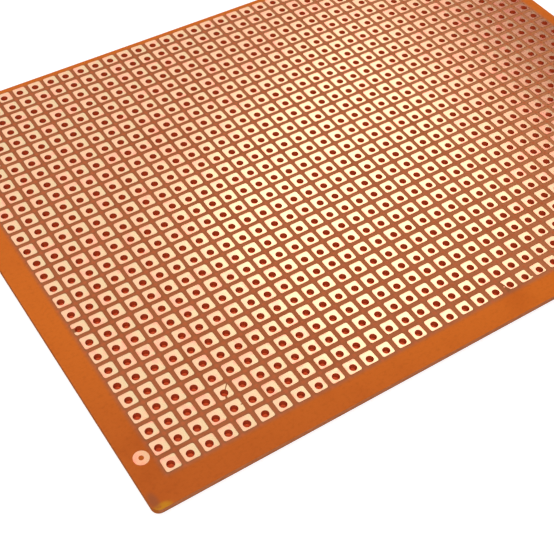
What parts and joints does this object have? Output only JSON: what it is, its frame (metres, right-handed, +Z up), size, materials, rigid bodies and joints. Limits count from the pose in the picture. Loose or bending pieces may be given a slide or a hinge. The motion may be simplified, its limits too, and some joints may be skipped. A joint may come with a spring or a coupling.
{
  "type": "prototype board",
  "caption": "Bare single-sided prototype board: thin brown paper laminate drilled on a 2.54 mm grid, with one square copper pad round each hole, lying copper side up.",
  "frame": {"origin": "middle of the underside, on the surface that the board lies on", "axes": "+X along the rows of holes, from left to right; +Y from the front row to the back row; +Z up, out of the copper side"},
  "size_m": [0.1012, 0.075, 0.0008],
  "materials": {
    "laminate": "semi-gloss resin-bonded paper",
    "copper": "bare copper foil under thin clear flux lacquer"
  },
  "bodies": {
    "root": {"laminate": "laminate", "pad_row_01": "copper", "pad_row_02": "copper", "pad_row_03": "copper", "pad_row_04": "copper", "pad_row_05": "copper", "pad_row_06": "copper", "pad_row_07": "copper", "pad_row_08": "copper", "pad_row_09": "copper", "pad_row_10": "copper", "pad_row_11": "copper", "pad_row_12": "copper", "pad_row_13": "copper", "pad_row_14": "copper", "pad_row_15": "copper", "pad_row_16": "copper", "pad_row_17": "copper", "pad_row_18": "copper", "pad_row_19": "copper", "pad_row_20": "copper", "pad_row_21": "copper", "pad_row_22": "copper", "pad_row_23": "copper", "pad_row_24": "copper", "pad_row_25": "copper", "pad_row_26": "copper", "pad_row_27": "copper", "pad_row_28": "copper", "registration_ring": "copper"}
  },
  "joints": []
}
